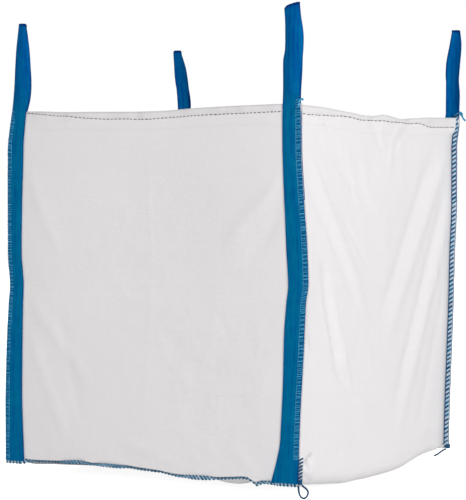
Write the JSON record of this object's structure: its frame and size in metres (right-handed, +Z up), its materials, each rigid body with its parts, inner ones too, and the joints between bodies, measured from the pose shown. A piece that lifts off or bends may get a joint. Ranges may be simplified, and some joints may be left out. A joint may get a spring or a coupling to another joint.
{
  "type": "bulk bag",
  "caption": "Open-top woven bulk bag with a rounded one-piece base, overlocked corner fins, full-height webbing straps and upright lifting loops.",
  "frame": {"origin": "under the centre of the base, where the sagging cloth touches the floor", "axes": "+Z up, front panel facing -Y, the U-panel's side walls facing -X and +X"},
  "size_m": [0.9453, 0.9582, 1.244],
  "materials": {
    "cloth": "matt, uncoated woven tape",
    "webbing": "matt, ribbed webbing",
    "overlock_thread": "matt twisted thread",
    "hem_thread": "matt twisted thread"
  },
  "bodies": {
    "bag": {"u_panel": "cloth", "front_panel": "cloth", "back_panel": "cloth", "strap_front_left": "webbing", "strap_front_right": "webbing", "strap_back_left": "webbing", "strap_back_right": "webbing", "strap_end_front_left": "webbing", "strap_end_front_right": "webbing", "strap_end_back_left": "webbing", "strap_end_back_right": "webbing", "overlock_front_left": "overlock_thread", "overlock_front_right": "overlock_thread", "overlock_back_left": "overlock_thread", "overlock_back_right": "overlock_thread", "overlock_front_bottom": "overlock_thread", "overlock_back_bottom": "overlock_thread", "hem_stitch_front": "hem_thread", "hem_stitch_back": "hem_thread", "hem_stitch_left": "hem_thread", "hem_stitch_right": "hem_thread", "thread_tail_front_right_bottom": "overlock_thread", "thread_tail_back_right_bottom": "overlock_thread", "thread_tail_front_right_top": "overlock_thread", "thread_tail_back_right_top": "overlock_thread"},
    "front_left_loop": {"loop_front_left": "webbing"},
    "front_right_loop": {"loop_front_right": "webbing"},
    "back_left_loop": {"loop_back_left": "webbing"},
    "back_right_loop": {"loop_back_right": "webbing"}
  },
  "joints": [
    {"name": "front_left_swing", "type": "hinge", "parent": "bag", "child": "front_left_loop", "pos_m": [-0.429, -0.4551, 1.022], "axis": [1, 0, 0], "range_deg": [-85, 165]},
    {"name": "front_right_swing", "type": "hinge", "parent": "bag", "child": "front_right_loop", "pos_m": [0.429, -0.4551, 1.022], "axis": [1, 0, 0], "range_deg": [-85, 165]},
    {"name": "back_left_swing", "type": "hinge", "parent": "bag", "child": "back_left_loop", "pos_m": [-0.429, 0.4551, 1.022], "axis": [-1, 0, 0], "range_deg": [-85, 165]},
    {"name": "back_right_swing", "type": "hinge", "parent": "bag", "child": "back_right_loop", "pos_m": [0.429, 0.4551, 1.022], "axis": [-1, 0, 0], "range_deg": [-85, 165]}
  ]
}
